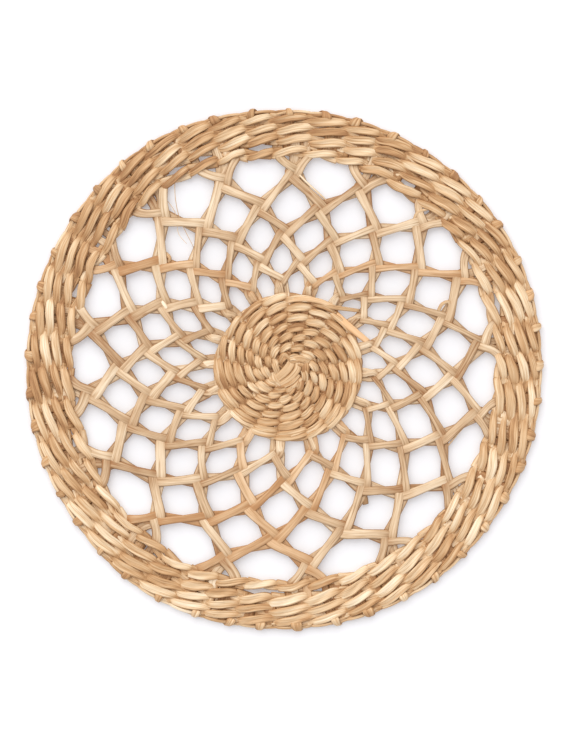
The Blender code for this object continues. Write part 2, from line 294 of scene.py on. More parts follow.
@dataclass(frozen=True)
class Section:
    """The cross-section of a blade, which dries into lengthwise strips with folds between them.

    Attributes:
        top: corners across the upper side, both edges included.
        bottom: corners across the under side.
        squareness: 2 for an ellipse, more for a flatter blade with fuller edges.
        folds: the folds' places across the blade, from -1 to 1.
        depth: how deep the folds are, as a share of half the thickness.
        contrast: how much the strips differ in tone.
        fold_shade: how much darker a fold is.
        edge_shade: how much darker the edges are.
        edge_power: the power of the place across that the edges darken by.
        fold_width: of a fold, as a share of half the blade's width.
        fold_drift: how far a fold strays to each side.
        fold_depths: the mean share of the depth that a fold has, and how far it changes.
        deepest: the largest share by which folds lower the blade.
        swing: stations in a swing of what wanders along the blade.
    """

    top: int = 9
    bottom: int = 3
    squareness: float = 3.0
    folds: Row = ()
    depth: float = 0.5
    contrast: float = 0.12
    fold_shade: float = 0.26
    edge_shade: float = 0.13
    edge_power: int = 6
    fold_width: float = 0.13
    fold_drift: float = 0.16
    fold_depths: Pair = (0.45, 0.9)
    deepest: float = 0.9
    swing: int = 10

    @property
    def around(self) -> int:
        """The corners round the blade."""
        return self.top + self.bottom

    def sweep(self, blades: Blades) -> Skin:
        """The closed surface of each blade.

        A corner at station i lies at line(i) + across(i) * half_width(i) * x
        + facing(i) * half_thickness(i) * z, where x goes in even steps from edge to edge, z is
        (1 - |x|^q)^(1/q) with the squareness q, and negative on the under side, and across is at
        right angles to the line and to facing, less the slant times the line's direction.
        Texture places are the length along the blade and the way round it, in metres.

        Args:
            blades: the blades, in mm.

        Returns:
            Their surface, in metres, with the ends of open blades closed by fans.
        """
        along = heading(blades.line, blades.closed)
        across = unit(np.cross(along, blades.facing))
        facing = np.cross(across, along)
        under = np.linspace(-1.0, 1.0, self.bottom + 2)[1:-1]
        wide = np.concatenate((under, np.linspace(1.0, -1.0, self.top)))
        side = np.concatenate((-np.ones(self.bottom), np.ones(self.top)))
        tall = side * (1.0 - np.abs(wide) ** self.squareness) ** (1.0 / self.squareness)
        lowered, shading = self._strips(*blades.tone.shape, wide)
        crown = tall * (1.0 - lowered * (side > 0.0))
        skewed = across - along * blades.slant[..., None]
        ring = (
            blades.line[:, :, None, :]
            + (skewed * blades.half_width[..., None])[:, :, None, :] * wide[:, None]
            + (facing * blades.half_thickness[..., None])[:, :, None, :] * crown[..., None]
        )
        tips = () if blades.closed else (0, -1)
        points = np.concatenate((ring.reshape(-1, 3), *(blades.line[:, tip] for tip in tips)))
        points[:, :2] += BOX_SHIFT
        points[:, 2] = np.maximum(points[:, 2], LOWEST)
        tone = (blades.tone[..., None] + shading).ravel()
        tone = np.concatenate((tone, *(blades.tone[:, tip] for tip in tips)))
        seed = np.repeat(blades.seed, blades.tone.shape[1] * self.around)
        seed = np.concatenate((seed, *(blades.seed for _ in tips)))
        return Skin(points * MM, *self._walls(blades), *self._ends(blades), tone, seed)

    def _strips(self, count: int, stations: int, wide: Array) -> tuple[Size, Array]:
        """How the folds lower the upper side, and the strips' tones.

        A fold is a bell curve round its place, which wanders along the blade, as does its depth.
        A strip's tone wanders too, gives way to the next strip's within a fold, and is darker in
        the fold and at the blade's edges.

        Args:
            count: how many blades there are.
            stations: how many stations each has.
            wide: the corners' places across the blade, from -1 to 1.

        Returns:
            The share by which each corner is lowered, and what its tone gains.
        """
        period = max(2, round(stations / self.swing))
        place = np.tile(np.arange(stations) * period / stations, (count, 1))
        strips = range(len(self.folds) + 1)
        tones = [self.contrast * wander(place, STRIP_SEED + k, period) for k in strips]
        shading = tones[0][..., None] - self.edge_shade * np.abs(wide) ** self.edge_power
        lowered = 0.0
        mean, change = self.fold_depths
        for k, middle in enumerate(self.folds):
            spot = middle + self.fold_drift * wander(place, FOLD_SEED + k, period)
            share = np.clip(mean + change * wander(place, DEPTH_SEED + k, period), 0.0, 1.0)
            away = (wide - spot[..., None]) / self.fold_width
            bell = share[..., None] * np.exp(-away * away)
            beyond = np.clip(0.5 + away / 2.0, 0.0, 1.0)
            lowered = lowered + self.depth * bell
            shading = shading + (tones[k + 1] - tones[k])[..., None] * beyond
            shading = shading - self.fold_shade * bell
        return np.minimum(lowered, self.deepest), shading

    def _walls(self, blades: Blades) -> tuple[Array, Array]:
        """The four-cornered faces along blades.

        Args:
            blades: the blades.

        Returns:
            The faces' point numbers and their texture places, in order round each face.
        """
        count, stations = blades.tone.shape
        steps = stations if blades.closed else stations - 1
        blade, station, corner = np.meshgrid(
            np.arange(count), np.arange(steps), np.arange(self.around), indexing="ij"
        )
        following = np.roll(blades.line, -1, axis=1)[:, :steps] - blades.line[:, :steps]
        length = np.cumsum(np.linalg.norm(following, axis=-1), axis=1)
        length = np.concatenate((np.zeros((count, 1)), length), axis=1)
        girth = math.pi * np.mean(blades.half_width + blades.half_thickness, axis=1)
        quads, places = [], []
        for i, j in ((0, 0), (1, 0), (1, 1), (0, 1)):
            ring = (blade * stations + (station + i) % stations) * self.around
            quads.append(ring + (corner + j) % self.around)
            way = girth[blade] * (corner + j) / self.around
            places.append(np.stack((length[blade, station + i], way), axis=-1))
        return np.stack(quads, -1).reshape(-1, 4), np.stack(places, -2).reshape(-1, 4, 2) * MM

    def _ends(self, blades: Blades) -> tuple[Array, Array]:
        """The fans of triangles that close the ends of open blades.

        Args:
            blades: the blades.

        Returns:
            The triangles' point numbers and their texture places.
        """
        count, stations = blades.tone.shape
        blade, corner = np.meshgrid(np.arange(count), np.arange(self.around), indexing="ij")
        beside = (corner + 1) % self.around
        first = blade * stations * self.around
        last = first + (stations - 1) * self.around
        hub = count * stations * self.around + blade
        start = np.stack((hub, first + corner, first + beside), axis=-1)
        end = np.stack((hub + count, last + beside, last + corner), axis=-1)
        triangles = np.concatenate((start.reshape(-1, 3), end.reshape(-1, 3)))
        triangles = triangles[:0] if blades.closed else triangles
        return triangles, np.zeros((len(triangles), 3, 2))


RIBBED = Section(top=11, squareness=2.9, folds=(-0.36, 0.34), depth=0.36, contrast=0.14,
                 fold_shade=0.17, edge_shade=0.22)
ROUNDED = Section(top=11, squareness=2.3, folds=(0.10,), depth=0.22, contrast=0.09,
                  fold_shade=0.22, edge_shade=0.34)
FOLDED = Section(top=11, folds=(-0.30, 0.38), depth=0.3, contrast=0.16)
CREASED = Section(folds=(0.05,), depth=0.3, contrast=0.07)
SLIM = Section(top=6, bottom=2)


def math_operator(operation: str, reflected: bool = False) -> Callable[..., "Wire"]:
    """An operator of Wire that adds a Math node, on the two values exchanged if reflected.

    Args:
        operation: of the Math node.
        reflected: True where the Wire is the second value.

    Returns:
        The method.
    """

    def operator(self: "Wire", other: "Wire | float") -> "Wire":
        """The Math node's result on this value and another."""
        values = {int(reflected): self, int(not reflected): other}
        return self.graph.node("ShaderNodeMath", {"operation": operation}, values)

    return operator


class Wire:
    """A value in a node tree, on which arithmetic adds Math nodes."""

    __add__, __radd__ = math_operator("ADD"), math_operator("ADD", True)
    __sub__, __rsub__ = math_operator("SUBTRACT"), math_operator("SUBTRACT", True)
    __mul__, __rmul__ = math_operator("MULTIPLY"), math_operator("MULTIPLY", True)

    def __init__(self, graph: "Graph", socket: bpy.types.NodeSocket) -> None:
        """Wraps one output socket of a graph."""
        self.graph = graph
        self.socket = socket

    def __abs__(self) -> "Wire":
        """This value without its sign."""
        return self.graph.node("ShaderNodeMath", {"operation": "ABSOLUTE"}, {0: self})

    def beside(self, out: str) -> "Wire":
        """Another output of the same node."""
        return Wire(self.graph, self.socket.node.outputs[out])


class Graph:
    """The node tree of a material or a world, built by one method."""

    def __init__(self, owner: Material | bpy.types.World) -> None:
        """Starts with the output node alone.

        Args:
            owner: what the nodes belong to.
        """
        owner.use_nodes = True
        self.tree = owner.node_tree
        self.tree.nodes.clear()
        kind = "World" if isinstance(owner, bpy.types.World) else "Material"
        self.end = self.tree.nodes.new("ShaderNodeOutput" + kind)

    def node(
        self,
        kind: str,
        settings: dict[str, object] | None = None,
        values: dict[int | str, object] | None = None,
        out: int | str = 0,
    ) -> Wire:
        """Adds a node.

        Args:
            kind: the node's type.
            settings: its properties, which are set first; stops are a ramp's places and colours,
                the first at 0 and the last at 1.
            values: the constant or the Wire that its sockets get, by number or name.
            out: which output to give back.

        Returns:
            The chosen output.
        """
        made = self.tree.nodes.new(kind)
        for name, value in (settings or {}).items():
            if name == "stops":
                ramp = made.color_ramp.elements
                ramp[0].color, ramp[1].color = value[0][1], value[-1][1]
                for place, colour in value[1:-1]:
                    ramp.new(place).color = colour
            else:
                setattr(made, name, value)
        for key, value in (values or {}).items():
            if isinstance(value, Wire):
                self.tree.links.new(value.socket, made.inputs[key])
            else:
                made.inputs[key].default_value = value
        return Wire(self, made.outputs[out])

    def mix(self, share: Wire, first: Wire, second: Colour) -> Wire:
        """A colour between two others by a share, from the Mix node's colour sockets."""
        return self.node("ShaderNodeMix", {"data_type": "RGBA"}, {0: share, 6: first, 7: second}, 2)

    def rise(self, value: Wire, limits: Pair) -> Wire:
        """A share that rises from 0 to 1 between two limits of a value."""
        values = {"Value": value, "From Min": limits[0], "From Max": limits[1]}
        return self.node("ShaderNodeMapRange", {"clamp": True}, values)

    def finish(self, kind: str, values: dict[int | str, object]) -> None:
        """Adds the shader, of a type and with its sockets' values, and links it to the output."""
        self.tree.links.new(self.node(kind, None, values).socket, self.end.inputs["Surface"])


@dataclass(frozen=True)
class Grain:
    """A noise pattern that is drawn out along a blade.

    Attributes:
        along: its cells in a metre of the blade's length.
        across: its cells in a metre round the blade.
        shift: the cells between the readings of blades with seeds 0 and 1.
        detail: the finer layers that it has.
        contrast: how much it changes the tone.
        relief: its share of the relief.
    """

    along: float
    across: float
    shift: float
    detail: float
    contrast: float
    relief: float = 0.0


@dataclass(frozen=True)
class DriedBlade:
    """The finish of dried seagrass: straw colours by tone, lengthwise fibres and a dull sheen.

    Streaks, fibres and patches shift the tone by their contrast times their distance from one
    half, folds darken it as painted shade in their grooves, and a ramp of five colours gives
    the colour. Blades with a high seed are browner, and those with a low one greener.
    """

    name: str
    # the darkest stop: the deep brown of dark blades and stakes, and the painted shade of folds,
    # edges, stitch ends and crossings
    brown_and_crease_shade: Colour = (0.340, 0.160, 0.062, 1.0)
    tan: Colour = (0.515, 0.288, 0.128, 1.0)
    straw: Colour = (0.645, 0.422, 0.230, 1.0)
    pale: Colour = (0.780, 0.580, 0.368, 1.0)
    cream: Colour = (0.905, 0.752, 0.550, 1.0)
    ramp: Row = (0.0, 0.26, 0.50, 0.74, 1.0)
    sunned: Colour = (0.800, 0.430, 0.185, 1.0)
    sunned_seeds: Pair = (0.90, 0.97)
    sunned_share: float = 0.62
    olive: Colour = (0.400, 0.300, 0.160, 1.0)
    olive_seeds: Pair = (0.80, 0.98)      # counted down from 1
    olive_share: float = 0.30
    streaks: Grain = Grain(42.0, 820.0, 37.0, 3.0, contrast=0.88, relief=0.5)
    fibres: Grain = Grain(130.0, 2600.0, 91.0, 2.0, contrast=0.30, relief=0.2)
    patches: Grain = Grain(55.0, 120.0, 53.0, 2.0, contrast=0.45)
    # fine fold lines: a groove in the relief, darkened by their contrast as painted shade
    folds: Grain = Grain(16.0, 330.0, 71.0, 1.0, contrast=0.22, relief=0.5)
    fold_reach: Pair = (0.0, 0.035)
    noise_roughness: float = 0.55
    roughness: float = 0.55
    roughness_swing: float = 0.25
    specular: float = 0.35
    bump_strength: float = 0.75
    bump_height: float = 0.00035

    def material(self) -> Material:
        """The material, whose fibres run along each blade by its texture places.

        Returns:
            A new material.
        """
        made = bpy.data.materials.new(self.name)
        graph = Graph(made)
        place = graph.node("ShaderNodeUVMap", {"uv_map": "along"})
        along = graph.node("ShaderNodeSeparateXYZ", values={0: place})
        tone, seed = (
            graph.node("ShaderNodeAttribute", {"attribute_name": label}, out="Fac")
            for label in ("tone", "seed")
        )
        streaks, fibres, patches, folds = (
            self._noise(graph, grain, along, seed)
            for grain in (self.streaks, self.fibres, self.patches, self.folds)
        )
        unfolded = graph.rise(abs(folds - 0.5), self.fold_reach)
        tone = tone + (streaks - 0.5) * self.streaks.contrast
        tone = tone + (fibres - 0.5) * self.fibres.contrast
        tone = tone + (patches - 0.5) * self.patches.contrast
        # painted shade in the grooves of the fine folds
        tone = tone - (1.0 - unfolded) * self.folds.contrast
        colours = (self.brown_and_crease_shade, self.tan, self.straw, self.pale, self.cream)
        stops = {"stops": tuple(zip(self.ramp, colours))}
        colour = graph.node("ShaderNodeValToRGB", stops, {0: tone})
        warm = graph.rise(seed, self.sunned_seeds) * self.sunned_share
        green = graph.rise(1.0 - seed, self.olive_seeds) * self.olive_share
        colour = graph.mix(green, graph.mix(warm, colour, self.sunned), self.olive)
        relief = streaks * self.streaks.relief + fibres * self.fibres.relief
        relief = relief + unfolded * self.folds.relief
        bump = {"Strength": self.bump_strength, "Distance": self.bump_height, "Height": relief}
        graph.finish("ShaderNodeBsdfPrincipled", {
            "Base Color": colour,
            "Roughness": self.roughness + (fibres - 0.5) * self.roughness_swing,
            "Specular IOR Level": self.specular,
            "Normal": graph.node("ShaderNodeBump", values=bump),
        })
        return made

    def _noise(self, graph: Graph, grain: Grain, along: Wire, seed: Wire) -> Wire:
        """A grain's noise: at the two texture places and the seed, each times the grain's cells.

        Args:
            graph: the material's nodes.
            grain: the pattern.
            along: the texture place along the blade, whose node gives the way round it as Y.
            seed: the blade's own number.

        Returns:
            The noise, from 0 to 1.
        """
        spot = {0: along * grain.along, 1: along.beside("Y") * grain.across, 2: seed * grain.shift}
        values = {
            "Vector": graph.node("ShaderNodeCombineXYZ", values=spot),
            "Scale": 1.0, "Detail": grain.detail, "Roughness": self.noise_roughness,
        }
        return graph.node("ShaderNodeTexNoise", {"noise_dimensions": "3D"}, values, "Fac")


@dataclass(frozen=True)
class TableTop:
    """The finish of the plain pale ground, which glows a little, so that its shadows are light."""

    name: str = "pale_ground"
    colour: Colour = (0.68, 0.68, 0.695, 1.0)
    glow: Colour = (0.955, 0.935, 0.945, 1.0)
    glow_strength: float = 0.215
    roughness: float = 0.9
    specular: float = 0.1

    def material(self) -> Material:
        """A plain matte material.

        Returns:
            A new material.
        """
        made = bpy.data.materials.new(self.name)
        Graph(made).finish("ShaderNodeBsdfPrincipled", {
            "Base Color": self.colour, "Roughness": self.roughness,
            "Specular IOR Level": self.specular, "Emission Color": self.glow,
            "Emission Strength": self.glow_strength,
        })
        return made


def placed(name: str, data: bpy.types.ID) -> Object:
    """A new object in the scene, at the origin.

    Args:
        name: its name.
        data: its mesh, light or camera.

    Returns:
        The object.
    """
    made = bpy.data.objects.new(name, data)
    bpy.context.scene.collection.objects.link(made)
    return made


def piece(name: str, skin: Skin, material: Material) -> Object:
    """Makes a surface a piece of the mat, which stands for the mat's solid.

    Args:
        name: the piece's name.
        skin: its surface, in metres.
        material: its finish.

    Returns:
        The new object, at the origin.
    """
    mesh = bpy.data.meshes.new(name)
    faces = skin.quads.tolist() + skin.triangles.tolist()
    mesh.from_pydata(skin.points.tolist(), [], faces)
    places = np.concatenate((skin.quad_places.reshape(-1, 2), skin.triangle_places.reshape(-1, 2)))
    mesh.uv_layers.new(name="along").data.foreach_set("uv", places.astype(np.float32).ravel())
    for label, values in (("tone", skin.tone), ("seed", skin.seed)):
        layer = mesh.attributes.new(label, "FLOAT", "POINT")
        layer.data.foreach_set("value", values.astype(np.float32))
    mesh.shade_smooth()
    mesh.materials.append(material)
    made = placed(name, mesh)
    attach(made, "root")
    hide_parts(NODE)
    LOG.info("%s: %d points, %d faces", name, len(skin.points), len(faces))
    return made


@dataclass(frozen=True)
class Twist:
    """Two blades twisted round each other. On top a blade makes a stitch, underneath another.

    Each size is a number, or an array with a row for each blade.

    Attributes:
        sway: how far a blade swings to each side.
        lift: how far it rises and falls.
        height: of the twist's middle line.
        top_width: half a blade's width on top.
        side_width: half its width where it turns under.
        thickness: half its thickness.
        blunt: the share of a stitch over which it widens.
        point: the share over which it narrows again.
        end_shade: the painted shade that darkens the narrow ends, where they dive under.
        slant: how far a stitch's right edge lags, as a share of half its width.
        lean: how far a blade tips to its sides.
        straight: the share by which its swing is a triangle wave and no cosine.
        early: under 1, a stitch is highest before its middle.
        plump: under 1, it rises and falls faster and stays high for longer.
    """

    sway: Size
    lift: Size
    height: Size
    top_width: Size
    side_width: Size
    thickness: Size
    blunt: Size = 0.20
    point: Size = 0.34
    end_shade: float = 0.12
    slant: float = 0.85
    lean: float = 0.3
    straight: float = 0.5
    early: float = 0.8
    plump: float = 0.6

    def wound(self, plan: Array, phase: Array, tone: Array, seed: Array, closed: bool) -> Blades:
        """Blades that wind round plan lines.

        At a phase p a blade lies sway * cos(p) to the right of its line, so that on top, where p
        goes from 0 to pi, it crosses from right to left; the cosine is mixed with a triangle
        wave. With s = p / pi on top, it is raised by lift * sin(pi * s^early)^plump, and lowered
        alike underneath. Its width goes from side_width to top_width by the sine of a quarter
        turn over the first share, blunt, and back alike over the last share, point. Where w is
        that share of the full width, its tone gains end_shade * (w - 0.8 - 0.6 * s^3): painted
        shade that darkens the narrow ends, where a stitch dives under its neighbour. The slant
        is slant * 2.5 * sin(p), and no more than slant to each side.

        Args:
            plan: blade by station by 2.
            phase: in radians, blade by station.
            tone: blade by station.
            seed: one for each blade.
            closed: True where the lines are rings.

        Returns:
            The blades.
        """
        left = leftward(plan, closed)
        swing = np.cos(phase) * (1.0 - self.straight) + zigzag(phase) * self.straight
        share, over = half_turn(phase / math.pi)
        raised = self.lift * over * np.sin(math.pi * share ** self.early) ** self.plump
        line = lifted(plan, self.height) - left * (self.sway * swing)[..., None]
        line = line + UP * raised[..., None]
        facing = unit(UP - left * (self.lean * np.sin(2.0 * phase))[..., None])
        rising = np.sin(0.5 * math.pi * np.clip(share / self.blunt, 0.0, 1.0))
        falling = np.sin(0.5 * math.pi * np.clip((1.0 - share) / self.point, 0.0, 1.0))
        full = rising * falling
        width = self.side_width + (self.top_width - self.side_width) * full
        # painted shade: each stitch is darker at its narrow ends, where it dives under its
        # neighbour
        tone = tone + self.end_shade * (full - 0.8 - 0.6 * share ** 3)
        slant = self.slant * np.clip(2.5 * np.sin(phase), -1.0, 1.0)
        return Blades(line, width, self.thickness, tone, seed, facing, closed, slant)


@dataclass(frozen=True)
class Rim:
    """The twined rim: four rows of two blades each, wound over the stakes.

    The innermost row stands off from the next by slit_depth between the bearings of each slit.
    The wobbles are per stitch: shares of a stitch for the drifts, factors for width and lift.
    """

    stitches: int = 45
    per_stitch: int = 10
    radii: Row = (158.6, 166.8, 174.7, 182.0)
    starts: Row = (0.4, -0.7, -0.3, 0.1)
    twist: Twist = Twist(
        column(1.75, 1.85, 1.80, 1.65), column(1.6, 1.7, 1.7, 1.6), column(4.2, 4.3, 4.3, 4.2),
        column(3.2, 3.5, 3.4, 3.2), column(1.7, 1.8, 1.8, 1.7), column(1.20, 1.25, 1.25, 1.20),
        end_shade=0.20, slant=1.4,
    )
    slits: tuple[Pair, ...] = (
        (15.0, 22.0), (54.0, 57.0), (94.0, 98.0), (108.0, 121.0), (141.0, 146.0),
        (158.0, 161.0), (198.0, 205.0), (232.0, 235.0), (260.0, 268.0), (277.0, 281.0),
    )
    slit_depth: float = 1.9
    slit_fade: float = 6.5
    shared_drift: Wobble = Wobble(0.0, 0.14, 0)
    drift: Wobble = Wobble(0.0, 0.09, 7, 0.5)
    sideways: Wobble = Wobble(0.0, 0.45, 1, 1.0 / 3.0)
    width: Wobble = Wobble(1.02, 0.17, 2)
    lift: Wobble = Wobble(1.0, 0.12, 3)
    blunt: Wobble = Wobble(0.19, 0.07, 8)
    point: Wobble = Wobble(0.38, 0.16, 9)
    tone: Wobble = Wobble(0.55, 0.24, 4)
    slow_tone: Wobble = Wobble(0.0, 0.05, 5, 0.1)
    # painted light: the rim is lighter towards bearing 300, at its lower right, and darker opposite
    painted_side_light: Wave = Wave(1, 0.075, 300.0)
    seeds: Pair = (0.25, 0.75)
    seed: int = 31
    stake_seed: int = 37
    stake_count: int = 150
    stake_stations: int = 7
    stake_radii: Pair = (159.2, 186.2)
    stake_parting: Pair = (6.3, 2.0)      # how far out the stakes start at a slit, and its fade
    stake_spread: Pair = (-0.12, 0.12)
    stake_height: Pair = (2.9, 4.3)
    stake_width: Pair = (4.1, 5.1)
    # the stakes' tones: partly their own brown, partly painted shade of the crevices between
    # stitches
    stake_tone_and_shade: Pair = (0.06, 0.42)
    stake_thickness: float = 0.7

    def build(self, material: Material) -> Object:
        """Makes and dresses the stakes of the rim."""
        return piece("rim_stakes", self.stakes(), material)

    def parting(self, bearing: Array, fade: float) -> Array:
        """How open the slits are.

        Args:
            bearing: in degrees.
            fade: degrees beyond a slit's ends over which it closes evenly.

        Returns:
            1 between a slit's ends, and 0 away from all slits.
        """
        turn = bearing % 360.0
        shares = [
            np.clip((turn - start) / fade + 1.0, 0.0, 1.0)
            * np.clip((end - turn) / fade + 1.0, 0.0, 1.0)
            for start, end in self.slits
        ]
        return np.max(shares, axis=0)

    def rows(self) -> Skin:
        """The four rows.

        Each is one closed blade that goes round twice, because it has an odd number of half
        turns, so that its second round lies opposite its first in the twist.

        Returns:
            Their surface.
        """
        seed, turns = self.seed, 2 * self.stitches
        place = np.arange(turns * self.per_stitch) / self.per_stitch
        place = np.tile(place, (len(self.radii), 1))
        stitch = np.floor(place - 0.5)
        drift = self.shared_drift.at(place[:1], seed, self.stitches)
        drift = drift + self.drift.at(place, seed, turns)
        bearing = column(*self.starts) + (place + drift) * 360.0 / self.stitches
        radius = column(*self.radii) + swell(bearing) + self.sideways.at(place, seed, turns)
        radius[0] -= self.slit_depth * self.parting(bearing[0], self.slit_fade)
        twist = replace(
            self.twist,
            top_width=self.twist.top_width * self.width.at(stitch, seed, turns),
            lift=self.twist.lift * self.lift.at(place, seed, turns),
            blunt=self.blunt.at(stitch, seed, turns),
            point=self.point.at(stitch, seed, turns),
        )
        tone = self.tone.at(stitch, seed, turns) + self.slow_tone.at(place, seed, turns)
        # painted light: lighter on the rim's lower right, darker on its upper left
        tone = tone + self.painted_side_light.at(bearing)
        seeds = Chance(seed, len(self.radii)).between(self.seeds)
        phase = math.pi * place - math.pi / 2.0
        return RIBBED.sweep(twist.wound(polar(MIDDLE, radius, bearing), phase, tone, seeds, True))

    def stakes(self) -> Skin:
        """The stakes inside the rim, which fill the crevices: radial blades side by side.

        Returns:
            Their surface.
        """
        chance = Chance(self.stake_seed, self.stake_count)
        number = np.arange(self.stake_count)[:, None] + chance.between(self.stake_spread)
        bearing = number * 360.0 / self.stake_count
        first, last = self.stake_radii
        outward, fade = self.stake_parting
        start = first + outward * self.parting(bearing, fade)
        share = np.linspace(0.0, 1.0, self.stake_stations)[None, :]
        radius = start + (last - start) * share + swell(bearing)
        line = lifted(polar(MIDDLE, radius, bearing), chance.between(self.stake_height))
        width = chance.between(self.stake_width)
        # low tones: the stakes' own brown and painted shade of the crevices
        tone = chance.between(self.stake_tone_and_shade)
        seeds = chance.between(self.seeds)
        return SLIM.sweep(Blades(line, width, self.stake_thickness, tone, seeds))


@dataclass(frozen=True)
class EdgeBinding:
    """The mat's edge: a thin twisted cord, and the stake ends that are lashed down over it.

    The profile is a lashed end's path, as places outward from the cord and heights.
    """

    radius: float = 187.1
    half_turns: int = 45
    knot_count: int = 45
    per_turn: int = 10
    twist: Twist = Twist(0.95, 0.6, 3.6, 1.30, 1.05, 1.1)
    sag: float = 1.1                       # how far in the cord falls between two lashed ends
    cord_tone: Wobble = Wobble(0.50, 0.20, 0, 0.5)
    # painted light: the cord is lighter towards bearing 250, at the bottom, and darker opposite
    cord_painted_light: Wave = Wave(1, 0.13, 250.0)
    profile: tuple[Pair, ...] = (
        (-3.9, 5.4), (-2.0, 6.9), (0.5, 6.3), (2.0, 4.7), (2.3, 3.2), (1.4, 1.4), (-1.2, 0.8),
    )
    per_span: int = 3
    reach: Pair = (0.8, 1.1)
    slant: Pair = (-0.9, 0.9)             # degrees from a lashed end's middle to its end
    spread: Pair = (-0.9, 0.9)
    start: float = 0.15
    knot_width: Pair = (2.3, 4.2)
    taper: tuple[Row, Row] = ((0.0, 0.2, 0.6, 1.0), (1.0, 1.1, 0.55, 0.8))  # places and widths
    knot_thickness: float = 0.65
    knot_tone: Pair = (0.14, 0.62)
    # painted light: the knots are darker towards bearing 140, at the upper left, and lighter
    # opposite
    knot_painted_light: Wave = Wave(1, -0.12, 140.0)
    seeds: Pair = (0.1, 0.95)
    seed: int = 57
    knot_seed: int = 58

    def build(self, material: Material) -> tuple[Object, Object]:
        """Makes and dresses the cord and the lashed ends."""
        knots = self.knots()
        return piece("edge_cord", self.cord(), material), piece("edge_knots", knots, material)

    def cord(self) -> Skin:
        """The cord, as one closed blade that goes round twice.

        Returns:
            Its surface.
        """
        turns = 2 * self.half_turns
        place = (np.arange(turns * self.per_turn) / self.per_turn)[None, :]
        bearing = place * 360.0 / self.half_turns
        sag = self.sag * (1.0 - np.abs(np.cos(np.radians(bearing) * self.knot_count / 2.0)))
        plan = polar(MIDDLE, self.radius + swell(bearing) - sag, bearing)
        # painted light: the cord is lighter on one side of the mat, darker on the other
        tone = self.cord_tone.at(place, self.seed, turns) + self.cord_painted_light.at(bearing)
        phase = math.pi * place + math.pi / 2.0
        return SLIM.sweep(self.twist.wound(plan, phase, tone, column(0.5), True))

    def knots(self) -> Skin:
        """The lashed ends, which show as small knots.

        Each blade comes up behind the outermost row, bends over the cord and tucks in below it.

        Returns:
            Their surface.
        """
        chance = Chance(self.knot_seed, self.knot_count)
        path = smooth_line(np.array(self.profile)[None], self.per_span)[0]
        out = self.radius + path[:, 0] * chance.between(self.reach)
        slant = chance.between(self.slant) * np.linspace(-1.0, 1.0, len(path))
        number = np.arange(self.knot_count)[:, None] + self.start
        bearing = number * 360.0 / self.knot_count + slant + chance.between(self.spread)
        plan = polar(MIDDLE, out + swell(bearing), bearing)
        line = lifted(plan, path[:, 1])
        inward = lifted(-unit(plan), 0.0)
        facing = unit(np.cross(heading(line, False), np.cross(inward, UP)))
        taper = np.interp(np.linspace(0.0, 1.0, len(path)), *self.taper)
        width = chance.between(self.knot_width) * taper
        # painted light: the knots are lighter on one side of the mat, darker on the other
        tone = chance.between(self.knot_tone) + self.knot_painted_light.at(bearing)
        seeds = chance.between(self.seeds)
        return CREASED.sweep(Blades(line, width, self.knot_thickness, tone, seeds, facing))


